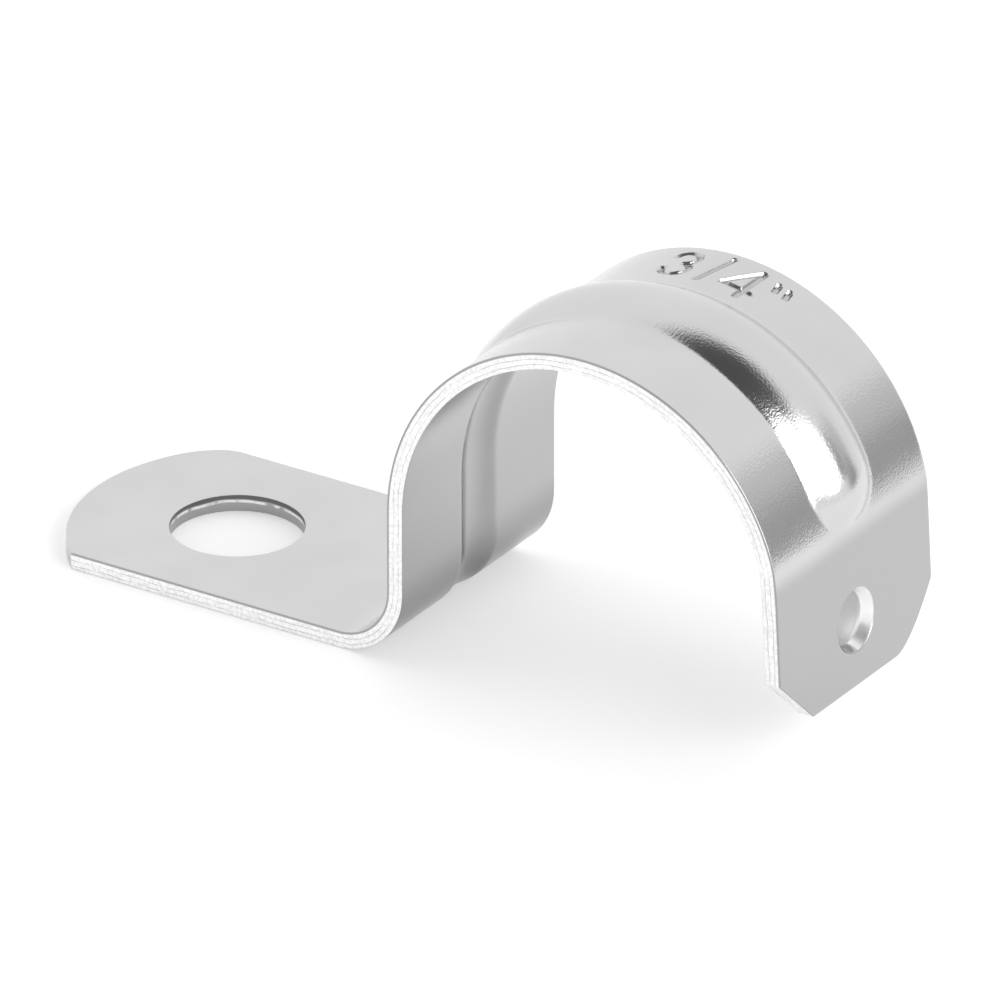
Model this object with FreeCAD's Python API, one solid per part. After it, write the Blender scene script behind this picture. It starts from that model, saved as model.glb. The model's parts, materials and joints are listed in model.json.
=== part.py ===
# One-hole strap for 3/4 in. trade size steel conduit, pressed and folded from one zinc plated sheet.
# Millimetres. The origin is the centre of the screw hole, on the face that lies on the wall.
# +X runs from the screw hole to the arch, +Z points away from the wall, and Y runs along the conduit.
import FreeCAD, Part
import math
import os

Vector = FreeCAD.Vector

# Driving dimensions: the sheet and the strap
sheet = 1.0
strap_width = 15.6

# Driving dimensions: the arch, which is pressed to the conduit's size
conduit_diameter = 23.42
conduit_clearance = 0.04
arch_centre_height = 9.2
screw_to_conduit = 27.75

# Driving dimensions: the tab that is screwed down
screw_hole_diameter = 7.6
tab_end_beyond_hole = 9.35
tab_end_radius = 10.6
tab_bend_inside_radius = 3.3

# Driving dimensions: the flap that hangs past the conduit
flap_lean_angle = 3.0
flap_end_height = 2.3
flap_corner_along_width = 3.2
flap_corner_along_height = 3.1

# Driving dimensions: the stiffening rib, whose sheet keeps its thickness
rib_width = 5.3
rib_height_at_crown = 0.88
rib_growth_to_flap = 0.22
rib_foot_fillet = 0.5
rib_hollow_edge_fillet = 0.7
rib_end_angle = 26.0
rib_foot_above_tab = 0.66

# Driving dimensions: the pressed dimple on the flap
dimple_height = 6.2
dimple_diameter = 3.9
dimple_depth = 0.8
dimple_boss_height = 0.2
dimple_boss_round = 0.15

# Worked out from the driving dimensions
arch_inner_radius = conduit_diameter / 2 + conduit_clearance
arch_outer_radius = arch_inner_radius + sheet
half_width = strap_width / 2
wall_inner_x = screw_to_conduit - arch_inner_radius
wall_outer_x = wall_inner_x - sheet
bend_centre = Vector(wall_outer_x - tab_bend_inside_radius, 0, sheet + tab_bend_inside_radius)
arch_centre = Vector(screw_to_conduit, 0, arch_centre_height)
rib_centre = arch_centre + Vector(rib_growth_to_flap, 0, 0)
beyond = 10 * sheet
touch = 0.01
places_tried_on_edge = 7


def radial(angle):
    """Unit vector from the arch's centre at an angle in degrees above +X."""
    return Vector(math.cos(math.radians(angle)), 0, math.sin(math.radians(angle)))


def point_on_arc(centre, radius, angle):
    return centre + radial(angle) * radius


def arc(centre, radius, start, end):
    middle = (start + end) / 2
    return Part.Arc(point_on_arc(centre, radius, start),
                    point_on_arc(centre, radius, middle),
                    point_on_arc(centre, radius, end)).toShape()


def line(start, end):
    return Part.LineSegment(start, end).toShape()


def flap_point(offset, height):
    """Point of the flap that lies offset above the sheet's inner face, at a height."""
    start = point_on_arc(arch_centre, arch_inner_radius + offset, flap_lean_angle)
    drop = start.z - height
    return Vector(start.x + drop * math.tan(math.radians(flap_lean_angle)), 0, height)


def side_line(offset, far_x, low_height):
    """Side outline of one face of the folded sheet, from the tab to below the flap's end."""
    bend_radius = tab_bend_inside_radius + sheet - offset
    arch_radius = arch_inner_radius + offset
    bend_start = point_on_arc(bend_centre, bend_radius, -90)
    bend_end = point_on_arc(bend_centre, bend_radius, 0)
    arch_start = point_on_arc(arch_centre, arch_radius, 180)
    arch_end = point_on_arc(arch_centre, arch_radius, flap_lean_angle)
    return [line(Vector(far_x, 0, offset), bend_start),
            arc(bend_centre, bend_radius, -90, 0),
            line(bend_end, arch_start),
            arc(arch_centre, arch_radius, 180, flap_lean_angle),
            line(arch_end, flap_point(offset, low_height))]


def across_width(edges, width):
    face = Part.Face(Part.Wire(Part.__sortEdges__(edges)))
    solid = face.extrude(Vector(0, width, 0))
    solid.translate(Vector(0, -width / 2, 0))
    return solid


def folded_band():
    """The sheet folded to its side outline, before the ends are cut to shape."""
    far_x = -tab_end_beyond_hole
    inner = side_line(0, far_x, flap_end_height)
    outer = side_line(sheet, far_x, flap_end_height)
    tab_end = line(Vector(far_x, 0, 0), Vector(far_x, 0, sheet))
    flap_end = line(flap_point(0, flap_end_height), flap_point(sheet, flap_end_height))
    return across_width(inner + outer + [tab_end, flap_end], strap_width)


def space_under_sheet():
    """Everything on the inner side of the sheet: the conduit's channel and what lies under the bend."""
    far_x = -tab_end_beyond_hole - beyond
    floor_height = -beyond
    inner = side_line(0, far_x, floor_height)
    floor_left = Vector(far_x, 0, floor_height)
    sides = [line(Vector(far_x, 0, 0), floor_left), line(floor_left, flap_point(0, floor_height))]
    return across_width(inner + sides, strap_width + 2 * beyond)


def rib_tool(radius, depth_of_centre, foot_height):
    """Round bar that follows the wall and the arch and ends in a ball; its centre line lies
    depth_of_centre below the sheet's outer face at the crown, and nearer to it at the flap."""
    path_radius = arch_outer_radius - depth_of_centre
    wall_foot = Vector(rib_centre.x - path_radius, 0, foot_height)
    wall_bar = Part.makeCylinder(radius, arch_centre_height - foot_height, wall_foot, Vector(0, 0, 1))
    ring_start = point_on_arc(rib_centre, path_radius, 180)
    section = Part.Face(Part.Wire(Part.makeCircle(radius, ring_start, Vector(0, 0, 1))))
    ring = section.revolve(rib_centre, Vector(0, 1, 0), 180 - rib_end_angle)
    ball = Part.makeSphere(radius, point_on_arc(rib_centre, path_radius, rib_end_angle))
    return wall_bar.fuse([ring, ball]).removeSplitter()


def tab_end_cutter():
    """What is cut off the tab so that its end is one large round."""
    corner_x = -tab_end_beyond_hole + tab_end_radius - math.sqrt(tab_end_radius ** 2 - half_width ** 2)
    block = Part.makeBox(corner_x + tab_end_beyond_hole + beyond, strap_width + 2 * beyond, 2 * beyond,
                         Vector(-tab_end_beyond_hole - beyond, -half_width - beyond, -beyond))
    disc = Part.makeCylinder(tab_end_radius, 2 * beyond,
                             Vector(-tab_end_beyond_hole + tab_end_radius, 0, -beyond))
    return block.cut(disc)


def flap_corner_cutter(side):
    """Wedge that clips one lower corner of the flap; side is -1 at the front and 1 at the back."""
    far_x = flap_point(sheet, flap_end_height).x + beyond
    near_x = flap_point(0, flap_end_height + flap_corner_along_height).x - beyond
    inner_y = side * (half_width - flap_corner_along_width)
    outer_y = side * half_width
    top = flap_end_height + flap_corner_along_height
    slope = flap_corner_along_height / flap_corner_along_width
    reach_y = outer_y + side * beyond
    outline = [Vector(near_x, inner_y, flap_end_height),
               Vector(near_x, outer_y, top),
               Vector(near_x, reach_y, top + beyond * slope),
               Vector(near_x, reach_y, flap_end_height - beyond),
               Vector(near_x, inner_y - side * beyond, flap_end_height - beyond * slope)]
    face = Part.Face(Part.makePolygon(outline + outline[:1]))
    return face.extrude(Vector(far_x - near_x, 0, 0))


def flap_normal():
    return radial(flap_lean_angle)


def dimple_recess():
    """Flat-floored round recess pressed into the flap's outer face."""
    centre = flap_point(sheet, dimple_height)
    floor = centre - flap_normal() * dimple_depth
    return Part.makeCylinder(dimple_diameter / 2, dimple_depth + beyond, floor, flap_normal())


def dimple_boss():
    """The low round boss that the dimple raises on the flap's inner face."""
    face_point = flap_point(0, dimple_height)
    top = face_point - flap_normal() * dimple_boss_height
    boss = Part.makeCylinder(dimple_diameter / 2, dimple_boss_height + sheet - dimple_depth, top, flap_normal())
    rim = [edge for edge in boss.Edges
           if isinstance(edge.Curve, Part.Circle) and edge.CenterOfMass.distanceToPoint(top) < dimple_boss_round]
    return boss.makeFillet(dimple_boss_round, rim)


def depth_in_sheet(point, offset):
    """How far a point lies from the face of the wall, bend or arch at an offset in the sheet."""
    if point.z > arch_centre_height:
        away = Vector(point.x - arch_centre.x, 0, point.z - arch_centre.z)
        return abs(away.Length - arch_inner_radius - offset)
    if point.z > bend_centre.z:
        return abs(point.x - wall_inner_x + offset)
    away = Vector(point.x - bend_centre.x, 0, point.z - bend_centre.z)
    return abs(away.Length - tab_bend_inside_radius - sheet + offset)


def rib_side_edges(shape, radius, depth_of_centre, offset):
    """Edges where the rib's round of a given radius leaves the sheet's face at an offset."""
    path_radius = arch_outer_radius - depth_of_centre
    path_end = point_on_arc(rib_centre, path_radius, rib_end_angle)

    def distance_to_path(point):
        away = Vector(point.x - rib_centre.x, 0, point.z - rib_centre.z)
        if away.z < 0:
            return math.hypot(away.x + path_radius, point.y)
        if math.degrees(math.atan2(away.z, away.x)) < rib_end_angle:
            return point.distanceToPoint(path_end)
        return math.hypot(away.Length - path_radius, point.y)

    def is_side(edge):
        return all(abs(distance_to_path(point) - radius) < touch and depth_in_sheet(point, offset) < touch
                   for point in edge.discretize(places_tried_on_edge))

    return [edge for edge in shape.Edges if is_side(edge)]


def both_halves_alike(shape):
    """The back half mirrors the front half, and each half has its own band of the conduit's seat."""
    size = shape.BoundBox
    front_space = Part.makeBox(size.XLength + 2 * beyond, half_width + beyond, size.ZLength + 2 * beyond,
                               Vector(size.XMin - beyond, -half_width - beyond, size.ZMin - beyond))
    front = shape.common(front_space)
    back = front.mirror(Vector(0, 0, 0), Vector(0, 1, 0))
    return front.fuse(back)


def build_strap():
    rib_radius = ((rib_width / 2) ** 2 + rib_height_at_crown ** 2) / (2 * rib_height_at_crown)
    hollow_radius = rib_radius - sheet
    rib_centre_depth = rib_radius - rib_height_at_crown
    rib_foot_height = sheet + rib_foot_above_tab

    strap = folded_band().fuse(rib_tool(rib_radius, rib_centre_depth, rib_foot_height))
    strap = strap.cut(space_under_sheet())
    strap = strap.cut(rib_tool(hollow_radius, rib_centre_depth, -beyond)).removeSplitter()
    strap = strap.makeFillet(rib_foot_fillet,
                             rib_side_edges(strap, rib_radius, rib_centre_depth, sheet))
    strap = strap.makeFillet(rib_hollow_edge_fillet,
                             rib_side_edges(strap, hollow_radius, rib_centre_depth, 0))

    screw_hole = Part.makeCylinder(screw_hole_diameter / 2, 2 * beyond, Vector(0, 0, -beyond))
    corners = [flap_corner_cutter(side) for side in (-1, 1)]
    strap = strap.cut([screw_hole, tab_end_cutter()] + corners)
    strap = strap.fuse(dimple_boss()).cut(dimple_recess())
    return both_halves_alike(strap.removeSplitter())


os.makedirs("parts", exist_ok=True)
strap = build_strap()
solid = strap.Solids[0]
print("solids", len(strap.Solids), "valid", solid.isValid(), "faces", len(solid.Faces),
      "volume", round(solid.Volume, 2))
solid.exportStep("parts/strap.step")
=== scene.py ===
import json
import math

import bmesh
import bpy
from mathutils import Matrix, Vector


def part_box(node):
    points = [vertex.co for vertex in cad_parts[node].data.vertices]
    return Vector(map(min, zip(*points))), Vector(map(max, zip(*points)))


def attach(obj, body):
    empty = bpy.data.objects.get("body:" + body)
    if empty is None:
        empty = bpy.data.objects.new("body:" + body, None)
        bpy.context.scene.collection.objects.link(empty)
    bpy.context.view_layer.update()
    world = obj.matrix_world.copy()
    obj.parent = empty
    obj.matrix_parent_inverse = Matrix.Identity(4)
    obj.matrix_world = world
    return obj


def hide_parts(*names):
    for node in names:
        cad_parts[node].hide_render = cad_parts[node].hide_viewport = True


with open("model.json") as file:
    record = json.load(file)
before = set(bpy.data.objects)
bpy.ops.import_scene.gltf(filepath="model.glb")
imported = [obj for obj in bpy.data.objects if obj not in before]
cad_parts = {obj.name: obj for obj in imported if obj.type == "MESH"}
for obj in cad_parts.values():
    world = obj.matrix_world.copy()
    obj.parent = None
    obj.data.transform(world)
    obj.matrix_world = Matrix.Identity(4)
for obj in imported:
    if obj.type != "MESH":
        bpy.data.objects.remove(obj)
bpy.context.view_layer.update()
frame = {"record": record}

mm = 0.001
print("frame loaded")


def mountOf(name):
    return next(mount for mount in frame["record"]["mounts"] if mount["name"] == name)


seat = mountOf("conduit_seat")
screwHole = mountOf("screw_hole")
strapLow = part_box("strap")[0]

# the strap in millimetres; the sheet, width, hole, arch and tab end come from the frame, less a
# hair that keeps the strap inside the solids' box
boxMargin = 0.001
strap = {
    "sheet": screwHole["dims"]["length_mm"],
    "width": seat["dims"]["length_mm"] - 2 * boxMargin,
    "holeRadius": screwHole["dims"]["r_mm"],
    "archRadius": seat["dims"]["r_mm"],
    "archX": seat["pos_m"][0] / mm,
    "archHeight": seat["pos_m"][2] / mm,
    "tabEnd": strapLow.x / mm + boxMargin,
    "tabEndRadius": 10.6,
    "bendRadius": 3.3,
    "flapLean": math.radians(3.0),
    "flapEnd": 2.3,
    "cornerAlongWidth": 3.2,
    "cornerAlongHeight": 3.1,
    "backCornerAlongWidth": 3.8,  # the flap's back corner is rounded, its front one straight
    "backCornerAlongHeight": 3.3,
    "backCornerRound": 1.6,
    "backEndRound": 1.8,      # the tab's back corner is a little rounded too
    "backEndPull": 0.9,
    "rollover": 0.15,         # round that the cut draws down along the outer face's edges
    "rolloverSteps": 3,
    "burrRound": 0.05,
    "burrSteps": 2,
}
# the blank's mesh: the size of a face, and how far in its lines follow the ends and the two rings
grid = {
    "cell": 0.2,
    "tabZone": 3.5,
    "tabZoneBeside": 6.0,     # more of the tab's lines give way beside the hole
    "besideHole": 1.5,
    "besideHoleFade": 2.4,
    "flapFade": 6.0,
    "flapZone": 1.6,
    "flapZoneBeside": 5.0,
    "besideDimple": 1.0,
    "squareShare": 0.86,      # the square that is drawn into a ring, as a share of the ring
    "holeReach": 1.8,
    "dimpleReach": 1.2,
    "inRing": 0.03,           # how far inside a ring the middle of a face in it lies
    "near": 1e-4,             # heights that differ by less are taken as one
}
# the rib; the angles of its hollow are turns of the bend, counted down from the wall
rib = {
    "width": 5.3,
    "height": 0.872,
    "growth": 0.22,
    "footRound": 0.4,
    "hollowRadius": 2.5,
    "hollowRound": 0.2,
    "endAngle": math.radians(26),
    "hollowFade": math.radians(15),
    "hollowEnd": math.radians(80),
}
# the faint crease where the arch turns into the flap; skew is how much lower it lies at the back
crease = {"angle": math.radians(14.5), "skew": math.radians(1.5), "run": 0.8, "turn": math.radians(5.3)}
# the dimple; its steps are (distance inside the rim, share of the depth)
dimple = {
    "height": 6.2,
    "radius": 1.95,
    "depth": 0.8,
    "recessSteps": [(0.02, 0), (0.05, 0.025), (0.08, 0.0875), (0.2, 0.375), (0.3, 0.625), (0.38, 0.8375),
                    (0.43, 0.925), (0.49, 0.98125), (0.56, 1), (0.61, 1), (0.977, 1), (1.4635, 1)],
    "boss": 0.2,
    "bossSteps": [(0.03, 0.1), (0.07, 0.7), (0.12, 0.9), (0.2, 1), (0.975, 1)],
    "wallFrom": 0.0625,       # shares of the depth between which one side of the recess wall has its painted highlight
    "wallTo": 0.9,
}
# strokes in millimetres: along the arch from the crown, and across from the middle line
numerals = {
    "depth": 0.2,
    "halfStroke": 0.11,
    "slope": 0.13,
    "finer": 3,               # cuts that make the mesh finer in the numerals' area
    "runLow": -3.3,
    "runHigh": 4.8,
    "acrossLow": 3.3,
    "arcs": [((-2.05, 6.26), 0.7, -72, 168), ((-2.0, 4.87), 0.76, -180, 78)],
    "lines": [((-0.22, 4.1), (0.34, 7.2)),
              ((2.34, 6.95), (1.04, 4.76)), ((1.04, 4.7), (2.85, 4.6)), ((2.42, 6.95), (2.38, 3.85)),
              ((3.5, 6.66), (3.62, 6.0)), ((4.2, 6.64), (4.34, 5.98))],
}

# the sheet's run, laid out flat along its middle: tab, bend, wall, arch, flap
midRadius = strap["archRadius"] + strap["sheet"] / 2
bendMid = strap["bendRadius"] + strap["sheet"] / 2
wallOuterX = strap["archX"] - strap["archRadius"] - strap["sheet"]
bendStart = wallOuterX - strap["bendRadius"]
bendZ = strap["sheet"] + strap["bendRadius"]
wallStart = bendStart + bendMid * math.pi / 2
archStart = wallStart + strap["archHeight"] - bendZ
crown = archStart + midRadius * math.pi / 2
flapStart = archStart + midRadius * (math.pi - strap["flapLean"])
flapTop = strap["archHeight"] + midRadius * math.sin(strap["flapLean"])
blankEnd = flapStart + (flapTop - strap["flapEnd"]) / math.cos(strap["flapLean"])
dimplePlace = flapStart + (flapTop - dimple["height"]) / math.cos(strap["flapLean"])

ribRadius = ((rib["width"] / 2) ** 2 + rib["height"] ** 2) / (2 * rib["height"])
ribEnd = archStart + midRadius * (math.pi - rib["endAngle"])


def smoothStep(value):
    value = min(max(value, 0.0), 1.0)
    return value * value * (3 - 2 * value)


# Height of a round bead at a distance from its middle line, with a hollow round at its foot.
def beadHeight(away, radius, height, foot):
    drop = radius - height
    reach = math.sqrt((radius + foot) ** 2 - (drop + foot) ** 2)
    if away >= reach:
        return 0.0
    if away <= reach * radius / (radius + foot):
        return math.sqrt(radius ** 2 - away ** 2) - drop
    return foot - math.sqrt(max(foot ** 2 - (reach - away) ** 2, 0.0))


# What is left of a bead that runs straight down where the sheet turns away from it.
def beadInBend(rise, faceRadius, turn):
    return max(faceRadius - (faceRadius - rise) / math.cos(turn), 0.0)


# How far the sheet is pressed out at a place on the blank; depth is 0 on the inner face.
def ribLift(along, across, depth):
    away = math.hypot(across, max(along - ribEnd, 0.0))
    angle = math.pi - (along - archStart) / midRadius
    height = rib["height"] + rib["growth"] * math.cos(min(max(angle, 0.0), math.pi))
    outer = beadHeight(away, ribRadius, height, rib["footRound"])
    inner = beadHeight(away, rib["hollowRadius"], height, rib["hollowRound"])
    if along < wallStart:
        turn = (wallStart - along) / bendMid
        if turn > rib["hollowEnd"]:
            return 0.0
        outer = beadInBend(outer, strap["bendRadius"], turn)
        inner *= 1 - smoothStep((turn - rib["hollowFade"]) / (rib["hollowEnd"] - rib["hollowFade"]))
    return inner + (outer - inner) * depth / strap["sheet"]


# How far the crease has drawn the sheet in by a place on the blank.
def creaseShift(along, across):
    angle = crease["angle"] - crease["skew"] * across / (strap["width"] / 2)
    past = along - archStart - midRadius * (math.pi - angle)
    if past <= 0:
        return 0.0
    if past < crease["run"]:
        return crease["turn"] * past ** 2 / (2 * crease["run"])
    fade = midRadius * (angle - strap["flapLean"]) - crease["run"]
    share = min((past - crease["run"]) / fade, 1)
    return crease["turn"] * (crease["run"] / 2 + fade * (share - share ** 2 / 2))


# Where a place on the flat blank comes to lie once the sheet is pressed and folded.
def foldedPlace(along, across, depth):
    lift = depth + ribLift(along, across, depth)
    if along <= bendStart:
        return Vector((along, across, lift))
    if along <= wallStart:
        turn = (along - bendStart) / bendMid
        out = strap["bendRadius"] + strap["sheet"] - lift
        return Vector((bendStart + out * math.sin(turn), across, bendZ - out * math.cos(turn)))
    if along <= archStart:
        return Vector((wallOuterX + strap["sheet"] - lift, across, bendZ + along - wallStart))
    out = strap["archRadius"] + lift
    angle = max(math.pi - (along - archStart) / midRadius, strap["flapLean"])
    down = max(along - flapStart, 0.0)
    reach = out * math.cos(angle) + down * math.sin(strap["flapLean"]) - creaseShift(along, across)
    return Vector((strap["archX"] + reach, across,
                   strap["archHeight"] + out * math.sin(angle) - down * math.cos(strap["flapLean"])))


# Where the tab ends at a distance across, with its back corner drawn round.
def tabEndAt(across):
    radius = strap["tabEndRadius"]
    nearBack = max(1 - (strap["width"] / 2 - across) / strap["backEndRound"], 0)
    drawn = strap["backEndPull"] * (1 - math.sqrt(1 - nearBack ** 2))
    return strap["tabEnd"] + radius - math.sqrt(radius ** 2 - across ** 2) + drawn


# Where the flap ends at a distance across.
def flapEndAt(across):
    if across > 0:
        outside = max(1 - (strap["width"] / 2 - across) / strap["backCornerAlongWidth"], 0)
        return blankEnd - strap["backCornerAlongHeight"] * outside ** strap["backCornerRound"]
    outside = max(1 - (strap["width"] / 2 + across) / strap["cornerAlongWidth"], 0)
    return blankEnd - strap["cornerAlongHeight"] * outside


# The sheet before folding: a fine grid, drawn to the outline of the round and clipped ends.
def flatBlank():
    bm = bmesh.new()
    cell = grid["cell"]
    start = cell * math.floor(strap["tabEnd"] / cell)
    end = cell * math.ceil(blankEnd / cell)
    alongCount = round((end - start) / cell)
    acrossCount = round(strap["width"] / cell)
    bmesh.ops.create_grid(bm, x_segments=alongCount, y_segments=acrossCount, size=0.5)
    bmesh.ops.scale(bm, vec=(end - start, strap["width"], 1), verts=bm.verts)
    bmesh.ops.translate(bm, vec=((start + end) / 2, 0, 0), verts=bm.verts)
    holeSide = strap["holeRadius"] + grid["besideHole"]
    dimpleShift = dimplePlace - cell * round(dimplePlace / cell)
    for vert in bm.verts:
        along, across = vert.co.x, vert.co.y
        beside = smoothStep((abs(across) - holeSide) / grid["besideHoleFade"])
        tabZone = grid["tabZone"] + grid["tabZoneBeside"] * beside
        tabPull = (tabEndAt(across) - start) * max(1 - (along - start) / tabZone, 0)
        flapShift = dimpleShift * smoothStep((along - flapStart + grid["flapFade"]) / grid["flapFade"])
        besideDimple = abs(across) > dimple["radius"] + grid["besideDimple"]
        flapZone = grid["flapZoneBeside"] if besideDimple else grid["flapZone"]
        flapPull = (end + dimpleShift - flapEndAt(across)) * max(1 - (end - along) / flapZone, 0)
        vert.co.x += tabPull + flapShift - flapPull
    return bm


# Draws the lines round a place into rings, so that one of them is a circle of the radius.
def ringLines(bm, centre, radius, reach):
    cell = grid["cell"]
    halfSquare = cell * round(grid["squareShare"] * radius / cell)
    far = halfSquare + reach
    for vert in bm.verts:
        along, across = vert.co.x - centre, vert.co.y
        square = max(abs(along), abs(across))
        if square >= far or square < cell / 4:
            continue
        grown = radius * square / halfSquare if square < halfSquare else radius + square - halfSquare
        share = 1 - smoothStep((square - halfSquare) / reach)
        scale = 1 + (grown / math.hypot(along, across) - 1) * share
        vert.co.x, vert.co.y = centre + along * scale, across * scale


# Faces of the sheet's side at a depth that lie inside the circle of a radius round a place.
def facesInRing(bm, centre, radius, depth):
    inside = []
    for face in bm.faces:
        middle = face.calc_center_median()
        away = math.hypot(middle.x - centre, middle.y)
        if away < radius - grid["inRing"] and abs(middle.z - depth) < grid["near"]:
            inside.append(face)
    return inside


def isFlat(face):
    return abs(face.normal.z) > 0.5


# Edges between the sheet's face at a depth and the cut wall.
def wallEdges(bm, depth):
    found = []
    for edge in bm.edges:
        level = all(abs(vert.co.z - depth) < grid["near"] for vert in edge.verts)
        if level and len({isFlat(face) for face in edge.link_faces}) == 2:
            found.append(edge)
    return found


# Raises the blank to the sheet's thickness and rounds the edges that the cut leaves.
def giveThickness(bm):
    made = bmesh.ops.extrude_face_region(bm, geom=bm.faces[:], use_keep_orig=True)
    raised = [item for item in made["geom"] if isinstance(item, bmesh.types.BMVert)]
    bmesh.ops.translate(bm, vec=(0, 0, strap["sheet"]), verts=raised)
    bmesh.ops.recalc_face_normals(bm, faces=bm.faces)
    outerEdge = (strap["sheet"], strap["rollover"], strap["rolloverSteps"])
    innerEdge = (0.0, strap["burrRound"], strap["burrSteps"])
    for depth, size, steps in (outerEdge, innerEdge):
        bm.normal_update()
        bmesh.ops.bevel(bm, geom=wallEdges(bm, depth), offset=size, offset_type="OFFSET",
                        segments=steps, profile=0.5, affect="EDGES", clamp_overlap=True, material=-1)


# Presses the dimple's circle down from the sheet's face at a height, ring by ring.
def pressRound(bm, height, depth, steps, wallShare):
    recessHighlight = bm.verts.layers.float["recessHighlight"]
    faces = facesInRing(bm, dimplePlace, dimple["radius"], height)
    loop = [edge for edge in {edge for face in faces for edge in face.edges}
            if sum(other in faces for other in edge.link_faces) == 1]
    bmesh.ops.delete(bm, geom=faces, context="FACES")
    centre = Vector((dimplePlace, 0, 0))
    radius = dimple["radius"]
    for inside, share in steps:
        made = bmesh.ops.extrude_edge_only(bm, edges=loop)["geom"]
        loop = [item for item in made if isinstance(item, bmesh.types.BMEdge)]
        scale = (dimple["radius"] - inside) / radius
        onWall = dimple["wallFrom"] < share < dimple["wallTo"]
        for vert in (item for item in made if isinstance(item, bmesh.types.BMVert)):
            place = centre + (vert.co - centre) * scale
            vert.co = (place.x, place.y, height - depth * share)
            # one side of the recess wall gets the painted highlight; wallShare is 1 for the recess and 0
            # for the boss
            vert[recessHighlight] = wallShare if onWall and place.y > 0 else 0
        radius = dimple["radius"] - inside
    floor = bmesh.ops.edgeloop_fill(bm, edges=loop)["faces"]
    bmesh.ops.poke(bm, faces=floor)


# Distance from a place to an arc given by its centre, radius and end angles in degrees.
def arcGap(place, centre, radius, start, end):
    centre = Vector(centre)
    offset = place - centre
    angle = math.degrees(math.atan2(offset.y, offset.x))
    while angle < start:
        angle += 360
    if angle <= end:
        return abs(offset.length - radius)
    turns = (math.radians(start), math.radians(end))
    ends = [centre + radius * Vector((math.cos(turn), math.sin(turn))) for turn in turns]
    return min((place - point).length for point in ends)


def lineGap(place, start, end):
    start, end = Vector(start), Vector(end)
    run = end - start
    share = min(max((place - start).dot(run) / run.length_squared, 0), 1)
    return (place - start - run * share).length


# Distance from a place to the nearest stroke of the size numerals.
def strokeGap(place):
    gaps = [arcGap(place, centre, radius, start, end) for centre, radius, start, end in numerals["arcs"]]
    gaps += [lineGap(place, start, end) for start, end in numerals["lines"]]
    return min(gaps)


# Whether a place on the blank is on the outer face, where the numerals are stamped.
def inStampedArea(place):
    inRun = numerals["runLow"] < place.x - crown < numerals["runHigh"]
    onFace = abs(place.z - strap["sheet"]) < grid["near"]
    return onFace and inRun and place.y > numerals["acrossLow"]


# Presses the plain size numerals into the outer face of the back band, near the crown.
def stampNumerals(bm):
    stamped = [face for face in bm.faces if inStampedArea(face.calc_center_median())]
    edges = list({edge for face in stamped for edge in face.edges})
    bmesh.ops.subdivide_edges(bm, edges=edges, cuts=numerals["finer"], use_grid_fill=True)
    for vert in bm.verts:
        if inStampedArea(vert.co):
            beyond = strokeGap(Vector((vert.co.x - crown, vert.co.y))) - numerals["halfStroke"]
            vert.co.z -= numerals["depth"] * smoothStep(1 - beyond / numerals["slope"])


# Gives each corner a share of 1 on the sheared walls and 0 on the flat faces.
def markCutWalls(bm):
    flatFrom, flatFade = 0.99, 0.4
    cutWall = bm.verts.layers.float.new("cutWall")
    bm.normal_update()
    for vert in bm.verts:
        flatness = max(abs(face.normal.z) for face in vert.link_faces)
        vert[cutWall] = smoothStep((flatFrom - flatness) / flatFade)


def finishMesh(bm, name, material):
    mesh = bpy.data.meshes.new(name)
    bm.to_mesh(mesh)
    bm.free()
    mesh.polygons.foreach_set("use_smooth", [True] * len(mesh.polygons))
    piece = bpy.data.objects.new(name, mesh)
    bpy.context.scene.collection.objects.link(piece)
    piece.data.materials.append(material)
    return piece


# the zinc plating and the cut walls. Depths are counted up from the sheet's inner face. A pair says
# where a look begins and where it is full, and a noise is (size, detail, roughness).
zinc = {
    "colour": (0.655, 0.655, 0.655),
    "dullColour": (0.625, 0.625, 0.625),
    "cloud": (4.0 * mm, 1.0, 0.5),
    "cloudLevels": (0.2, 0.8),
    "flapShadeShare": 0.75,        # painted shade on the flap: how much of the duller colour it keeps
    "flapAlong": (flapStart - 2.2, flapStart - 0.8),
    # painted shade on the inner face
    "innerShadeColour": (0.455, 0.455, 0.455),
    "innerDepth": (0.10, 0.04),
    # deeper painted shade on the inner face by the bend and under the tab
    "bendShadeColour": (0.25, 0.25, 0.25),
    "bendAlong": (wallStart + 1.5, wallStart - 2.5),
    # painted shade in the stamped numerals
    "numeralShadeColour": (0.52, 0.52, 0.52),
    "stampedDepth": (strap["sheet"] - 0.04, strap["sheet"] - 0.16),
    "outerHalf": (0.5, 0.6),
    # painted highlight on one side of the dimple's recess wall
    "recessHighlightColour": (0.93, 0.93, 0.93),
    "roughness": 0.15,
    "roughnessSpread": 0.04,
    "spreadLevels": (0.3, 0.7),
    "cutRoughness": 0.2,
    "punchedRoughness": 0.22,
    "dimpleFloorRoughness": 0.4,
    "dimpleFloorFrom": (0.10, 0.15),
    "dimpleFloorTo": (0.34, 0.28),
    "grain": (0.12 * mm, 2.0, 0.5),
    "grainHeight": 0.012 * mm,
}
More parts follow.
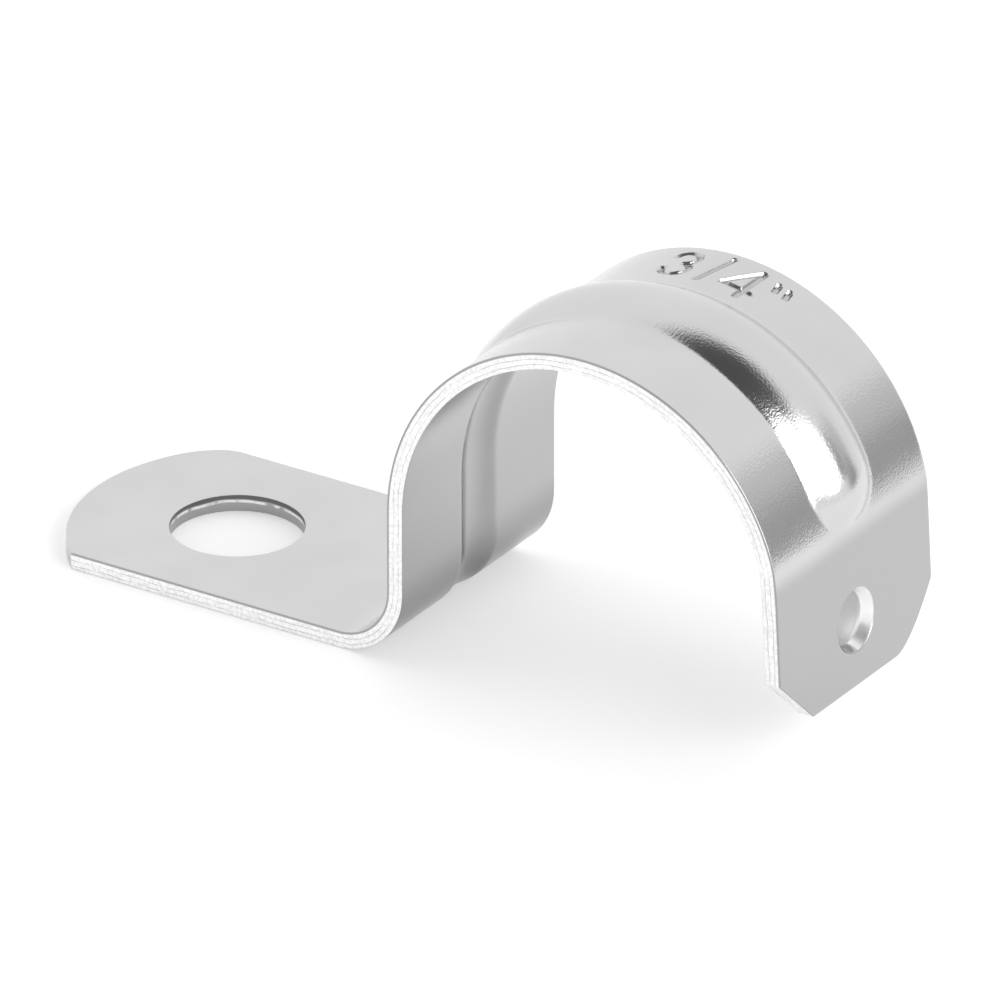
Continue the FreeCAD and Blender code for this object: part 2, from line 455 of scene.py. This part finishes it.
cutWalls = {
    "colour": (0.98, 0.98, 0.98),
    "speckColour": (0.84, 0.84, 0.84),
    "speck": (0.18 * mm, 2.0, 0.6),
    "speckLevels": (0.42, 0.6),
    "lineColour": (0.50, 0.50, 0.50),
    "lines": (0.27, 0.60),    # depths of the lines that the shears leave
    "lineHalf": (0.03, 0.009),
    "lineWave": 0.3,
    "wave": (2.4 * mm, 2.0, 0.5),
    "fading": (1.1 * mm, 2.0, 0.6),
    "fadingLevels": (0.3, 0.6),
    "faintest": 0.25,
    # painted dark reflection on the rollover along the cut walls
    "rolloverDarkReflection": (0.38, 0.38, 0.38),
    "rolloverDepth": (0.84 * strap["sheet"], 0.88 * strap["sheet"]),
    "tabEndColour": (0.62, 0.62, 0.62),
    "tabEndFrom": (-0.02, -0.12),  # along the tab from its corners
    # painted shade greys the screw hole's wall
    "boreColour": (0.42, 0.42, 0.42),
    "boreStreakColour": (0.9, 0.9, 0.9),
    "boreStreakFrom": (0.50, 0.56),
    "boreStreakTo": (0.72, 0.68),
    "boreStreakLevels": (0.4, 0.55),
    # painted dark reflection on the rollover inside the screw hole
    "boreRolloverDarkReflection": (0.16, 0.16, 0.16),
    "boreRolloverDepth": (0.70, 0.78),
    "boreReach": (0.5, 0.4),  # how far outside the hole's radius the bore's colours go
}


def mathNode(nodes, links, operation, first, second):
    node = nodes.new("ShaderNodeMath")
    node.operation = operation
    for socket, value in zip(node.inputs, (first, second)):
        if isinstance(value, (int, float)):
            socket.default_value = value
        else:
            links.new(value, socket)
    return node.outputs[0]


def noiseNode(nodes, links, place, size, detail, roughness):
    node = nodes.new("ShaderNodeTexNoise")
    node.inputs["Scale"].default_value = 1 / size
    node.inputs["Detail"].default_value = detail
    node.inputs["Roughness"].default_value = roughness
    links.new(place, node.inputs["Vector"])
    return node.outputs["Fac"]


def rangeNode(nodes, links, value, low, high, newLow, newHigh):
    node = nodes.new("ShaderNodeMapRange")
    node.interpolation_type = "SMOOTHSTEP"
    for name, number in (("From Min", low), ("From Max", high), ("To Min", newLow), ("To Max", newHigh)):
        node.inputs[name].default_value = number
    links.new(value, node.inputs["Value"])
    return node.outputs["Result"]


def mixColour(nodes, links, share, first, second):
    node = nodes.new("ShaderNodeMix")
    node.data_type = "RGBA"
    links.new(share, node.inputs["Factor"])
    for socket, value in ((node.inputs["A"], first), (node.inputs["B"], second)):
        if isinstance(value, tuple):
            socket.default_value = value + (1,)
        else:
            links.new(value, socket)
    return node.outputs["Result"]


def attributeNode(nodes, name):
    node = nodes.new("ShaderNodeAttribute")
    node.attribute_name = name
    return node


# A share that runs from 0 to 1 between two distances in millimetres.
def shareBetween(nodes, links, value, ends):
    return rangeNode(nodes, links, value, ends[0] * mm, ends[1] * mm, 0, 1)


def vectorNode(nodes, links, operation, first, second=None):
    node = nodes.new("ShaderNodeVectorMath")
    node.operation = operation
    links.new(first, node.inputs[0])
    if second is not None:
        node.inputs[1].default_value = second
    return node


# The plated faces: slightly cloudy, with painted shade on the flap, on the inner side (deepest by the
# bend and under the tab) and in the numerals.
def plateColour(nodes, links, cloud, along, depth):
    clouded = rangeNode(nodes, links, cloud, *zinc["cloudLevels"], 0, 1)
    face = mixColour(nodes, links, clouded, zinc["colour"], zinc["dullColour"])
    # painted shade: the flap is darker than the rest of the outer face
    flapShadedColour = tuple(zinc["flapShadeShare"] * part for part in zinc["dullColour"])
    onFlap = shareBetween(nodes, links, along, zinc["flapAlong"])
    face = mixColour(nodes, links, onFlap, face, flapShadedColour)
    # painted shade on the inner face, deeper by the bend and under the tab
    inBend = shareBetween(nodes, links, along, zinc["bendAlong"])
    inner = mixColour(nodes, links, inBend, zinc["innerShadeColour"], zinc["bendShadeColour"])
    face = mixColour(nodes, links, shareBetween(nodes, links, depth, zinc["innerDepth"]), face, inner)
    # painted shade in the grooves of the stamped numerals
    stamped = mathNode(nodes, links, "MULTIPLY",
                       shareBetween(nodes, links, depth, zinc["stampedDepth"]),
                       shareBetween(nodes, links, depth, zinc["outerHalf"]))
    return mixColour(nodes, links, stamped, face, zinc["numeralShadeColour"])


# The thin grey lines that run along the cut walls, as a share.
def shearLines(nodes, links, waved, faint):
    lines = 0.0
    for level in cutWalls["lines"]:
        off = mathNode(nodes, links, "SUBTRACT", waved, level * mm)
        off = mathNode(nodes, links, "ABSOLUTE", off, 0.0)
        line = shareBetween(nodes, links, off, cutWalls["lineHalf"])
        lines = mathNode(nodes, links, "MAXIMUM", lines, line)
    fading = rangeNode(nodes, links, faint, *cutWalls["fadingLevels"], cutWalls["faintest"], 1.0)
    return mathNode(nodes, links, "MULTIPLY", lines, fading)


# The screw hole's wall: grey from painted shade, with a broken bright streak under a painted dark
# reflection on the rollover.
def boreColour(nodes, links, waved, faint):
    streak = mathNode(nodes, links, "MULTIPLY",
                      shareBetween(nodes, links, waved, cutWalls["boreStreakFrom"]),
                      shareBetween(nodes, links, waved, cutWalls["boreStreakTo"]))
    broken = rangeNode(nodes, links, faint, *cutWalls["boreStreakLevels"], 0, 1)
    streak = mathNode(nodes, links, "MULTIPLY", streak, broken)
    # painted shade greys the bore
    bore = mixColour(nodes, links, streak, cutWalls["boreColour"], cutWalls["boreStreakColour"])
    # painted dark reflection on the bore's rollover
    rolled = shareBetween(nodes, links, waved, cutWalls["boreRolloverDepth"])
    return mixColour(nodes, links, rolled, bore, cutWalls["boreRolloverDarkReflection"])


# The sheared walls: bright and specked, with a painted dark reflection at the rollover, with the bore and
# tab end on their own.
def cutWallColour(nodes, links, where, along, depth):
    wander = noiseNode(nodes, links, where, *cutWalls["wave"])
    shift = mathNode(nodes, links, "SUBTRACT", wander, 0.5)
    shift = mathNode(nodes, links, "MULTIPLY", shift, cutWalls["lineWave"] * mm)
    waved = mathNode(nodes, links, "ADD", depth, shift)
    faint = noiseNode(nodes, links, where, *cutWalls["fading"])
    speck = noiseNode(nodes, links, where, *cutWalls["speck"])
    specked = rangeNode(nodes, links, speck, *cutWalls["speckLevels"], 0, 1)
    wall = mixColour(nodes, links, specked, cutWalls["colour"], cutWalls["speckColour"])
    wall = mixColour(nodes, links, shearLines(nodes, links, waved, faint), wall, cutWalls["lineColour"])
    # painted dark reflection on the rollover
    rolled = shareBetween(nodes, links, depth, cutWalls["rolloverDepth"])
    wall = mixColour(nodes, links, rolled, wall, cutWalls["rolloverDarkReflection"])

    flat = vectorNode(nodes, links, "MULTIPLY", where, (1, 1, 0)).outputs["Vector"]
    fromHole = vectorNode(nodes, links, "LENGTH", flat).outputs["Value"]
    boreLimits = [strap["holeRadius"] + reach for reach in cutWalls["boreReach"]]
    inHole = shareBetween(nodes, links, fromHole, boreLimits)
    wall = mixColour(nodes, links, inHole, wall, boreColour(nodes, links, waved, faint))

    straightHalf = math.sqrt(strap["tabEndRadius"] ** 2 - strap["width"] ** 2 / 4)
    cornerAlong = strap["tabEnd"] + strap["tabEndRadius"] - straightHalf
    endLimits = [cornerAlong + margin for margin in cutWalls["tabEndFrom"]]
    onEnd = shareBetween(nodes, links, along, endLimits)
    return mixColour(nodes, links, onEnd, wall, cutWalls["tabEndColour"])


# Roughness: a little uneven on the plating, more on cut walls, on the recess wall with the painted
# highlight and on the dimple's floor.
def plateGloss(nodes, links, cloud, depth, cut, recessHighlight):
    gloss = rangeNode(nodes, links, cloud, *zinc["spreadLevels"], zinc["roughness"],
                      zinc["roughness"] + zinc["roughnessSpread"])
    onFloor = mathNode(nodes, links, "MULTIPLY",
                       shareBetween(nodes, links, depth, zinc["dimpleFloorFrom"]),
                       shareBetween(nodes, links, depth, zinc["dimpleFloorTo"]))
    onFloor = mathNode(nodes, links, "MULTIPLY", onFloor, mathNode(nodes, links, "SUBTRACT", 1.0, cut))
    added = ((cut, "cutRoughness"), (recessHighlight, "punchedRoughness"), (onFloor, "dimpleFloorRoughness"))
    for share, name in added:
        more = mathNode(nodes, links, "MULTIPLY", share, zinc[name])
        gloss = mathNode(nodes, links, "ADD", gloss, more)
    return gloss


def zincPlate():
    material = bpy.data.materials.new("zincPlate")
    material.use_nodes = True
    nodes, links = material.node_tree.nodes, material.node_tree.links
    shader = nodes["Principled BSDF"]
    shader.inputs["Metallic"].default_value = 1.0
    where = attributeNode(nodes, "blankPlace").outputs["Vector"]
    cut = attributeNode(nodes, "cutWall").outputs["Fac"]
    recessHighlight = attributeNode(nodes, "recessHighlight").outputs["Fac"]
    split = nodes.new("ShaderNodeSeparateXYZ")
    links.new(where, split.inputs[0])
    along, depth = split.outputs["X"], split.outputs["Z"]

    cloud = noiseNode(nodes, links, where, *zinc["cloud"])
    face = plateColour(nodes, links, cloud, along, depth)
    colour = mixColour(nodes, links, cut, face, cutWallColour(nodes, links, where, along, depth))
    # painted highlight on one side of the dimple's recess wall
    colour = mixColour(nodes, links, recessHighlight, colour, zinc["recessHighlightColour"])
    links.new(colour, shader.inputs["Base Color"])
    links.new(plateGloss(nodes, links, cloud, depth, cut, recessHighlight), shader.inputs["Roughness"])

    grain = noiseNode(nodes, links, where, *zinc["grain"])
    bump = nodes.new("ShaderNodeBump")
    bump.inputs["Distance"].default_value = 1.0
    bump.inputs["Strength"].default_value = 1.0
    links.new(mathNode(nodes, links, "MULTIPLY", grain, zinc["grainHeight"]), bump.inputs["Height"])
    links.new(bump.outputs["Normal"], shader.inputs["Normal"])
    return material


def makeStrap():
    bm = flatBlank()
    ringLines(bm, 0.0, strap["holeRadius"], grid["holeReach"])
    ringLines(bm, dimplePlace, dimple["radius"], grid["dimpleReach"])
    hole = facesInRing(bm, 0.0, strap["holeRadius"], 0.0)
    bmesh.ops.delete(bm, geom=hole, context="FACES")
    giveThickness(bm)
    markCutWalls(bm)
    # share of painted highlight on the dimple's recess wall
    bm.verts.layers.float.new("recessHighlight")
    pressRound(bm, strap["sheet"], dimple["depth"], dimple["recessSteps"], 1)
    pressRound(bm, 0.0, dimple["boss"], dimple["bossSteps"], 0)
    stampNumerals(bm)
    blankPlace = bm.verts.layers.float_vector.new("blankPlace")
    for vert in bm.verts:
        vert[blankPlace] = vert.co * mm
        vert.co = foldedPlace(vert.co.x, vert.co.y, vert.co.z) * mm
    bmesh.ops.recalc_face_normals(bm, faces=bm.faces)
    piece = finishMesh(bm, "foldedStrap", zincPlate())
    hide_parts("strap")
    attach(piece, "root")
    return piece


strapPiece = makeStrap()
print("strap made,", len(strapPiece.data.polygons), "faces")

# camera at the photograph's viewing angle, in degrees, millimetres and pixels
view = {"azimuth": 32.66, "elevation": 26.67, "distance": 1200.0, "pixelsPerMm": 17.92,
        "originAt": (237.5, 541.6), "frameSize": 1000, "sensor": 36.0, "clip": (0.01, 20)}


def makeCamera():
    azimuth, elevation = math.radians(view["azimuth"]), math.radians(view["elevation"])
    back = Vector((math.sin(azimuth) * math.cos(elevation), -math.cos(azimuth) * math.cos(elevation),
                   math.sin(elevation)))
    right = Vector((math.cos(azimuth), math.sin(azimuth), 0))
    up = back.cross(right)
    half = view["frameSize"] / 2
    aim = (right * (half - view["originAt"][0]) + up * (view["originAt"][1] - half)) / view["pixelsPerMm"]
    data = bpy.data.cameras.new("camera")
    data.sensor_width = view["sensor"]
    data.lens = view["sensor"] * view["distance"] * view["pixelsPerMm"] / view["frameSize"]
    data.clip_start, data.clip_end = view["clip"]
    camera = bpy.data.objects.new("camera", data)
    camera.location = (aim + back * view["distance"]) * mm
    camera.rotation_mode = "QUATERNION"
    camera.rotation_quaternion = (-back).to_track_quat("-Z", "Y")
    bpy.context.scene.collection.objects.link(camera)
    bpy.context.scene.camera = camera


makeCamera()
print("camera placed")

# the studio: a bright tent with dark gaps overhead and in front, a wide softbox at the right with a
# dark rim, and a dark strip low down at the far side
studio = {
    "floorColour": 0.8,
    "floorRoughness": 0.9,
    "floorHalf": 0.1,
    "floorGap": 0.03 * mm,    # keeps the floor off the strap's underside
    "floorLift": 0.42,
    "tent": 1.02,
    "patches": [              # direction, half width in degrees, soft edge in degrees, brightness
        ((0.30, -0.32, 0.87), 26, 15, 0.1),
        ((-0.30, -0.60, 0.74), 15, 12, 0.12),
        ((0.79, 0.54, 0.30), 7, 5, 0.30),
        ((0.61, 0.75, 0.24), 6, 8, 0.7),
        ((0.65, 0.75, -0.02), 8, 7, 0.44),
        ((0.90, 0.10, 0.36), 18, 4, 3.5),
        ((0.86, -0.26, 0.44), 18, 4, 3.5),
    ],
}


# A pale floor that is lifted to white where the camera or a reflection sees it.
def paleFloor():
    material = bpy.data.materials.new("paleFloor")
    material.use_nodes = True
    nodes, links = material.node_tree.nodes, material.node_tree.links
    shader = nodes["Principled BSDF"]
    shader.inputs["Base Color"].default_value = (studio["floorColour"],) * 3 + (1,)
    shader.inputs["Roughness"].default_value = studio["floorRoughness"]
    shader.inputs["Specular IOR Level"].default_value = 0.0
    shader.inputs["Emission Color"].default_value = (1, 1, 1, 1)
    path = nodes.new("ShaderNodeLightPath")
    seen = mathNode(nodes, links, "ADD", path.outputs["Is Camera Ray"], path.outputs["Is Glossy Ray"])
    seen = mathNode(nodes, links, "ADD", seen, path.outputs["Is Transmission Ray"])
    seen = mathNode(nodes, links, "MINIMUM", seen, 1.0)
    lift = mathNode(nodes, links, "MULTIPLY", seen, studio["floorLift"])
    links.new(lift, shader.inputs["Emission Strength"])
    return material


def makeFloor():
    bm = bmesh.new()
    bmesh.ops.create_grid(bm, x_segments=1, y_segments=1, size=studio["floorHalf"])
    bmesh.ops.translate(bm, vec=(0, 0, -studio["floorGap"]), verts=bm.verts)
    finishMesh(bm, "floor", paleFloor())


def makeWorld():
    world = bpy.data.worlds.new("studio")
    bpy.context.scene.world = world
    world.use_nodes = True
    nodes, links = world.node_tree.nodes, world.node_tree.links
    background = nodes["Background"]
    direction = nodes.new("ShaderNodeTexCoord").outputs["Generated"]
    level = nodes.new("ShaderNodeValue")
    level.outputs[0].default_value = studio["tent"]
    shade = level.outputs[0]
    for aim, half, soft, brightness in studio["patches"]:
        facing = vectorNode(nodes, links, "DOT_PRODUCT", direction, Vector(aim).normalized())
        share = rangeNode(nodes, links, facing.outputs["Value"], math.cos(math.radians(half + soft)),
                          math.cos(math.radians(half)), 0, 1)
        mix = nodes.new("ShaderNodeMix")
        links.new(share, mix.inputs["Factor"])
        links.new(shade, mix.inputs["A"])
        mix.inputs["B"].default_value = brightness
        shade = mix.outputs["Result"]
    links.new(shade, background.inputs["Strength"])
    background.inputs["Color"].default_value = (1, 1, 1, 1)


makeFloor()
makeWorld()
print("studio made")

bpy.context.scene.view_settings.view_transform = "Standard"
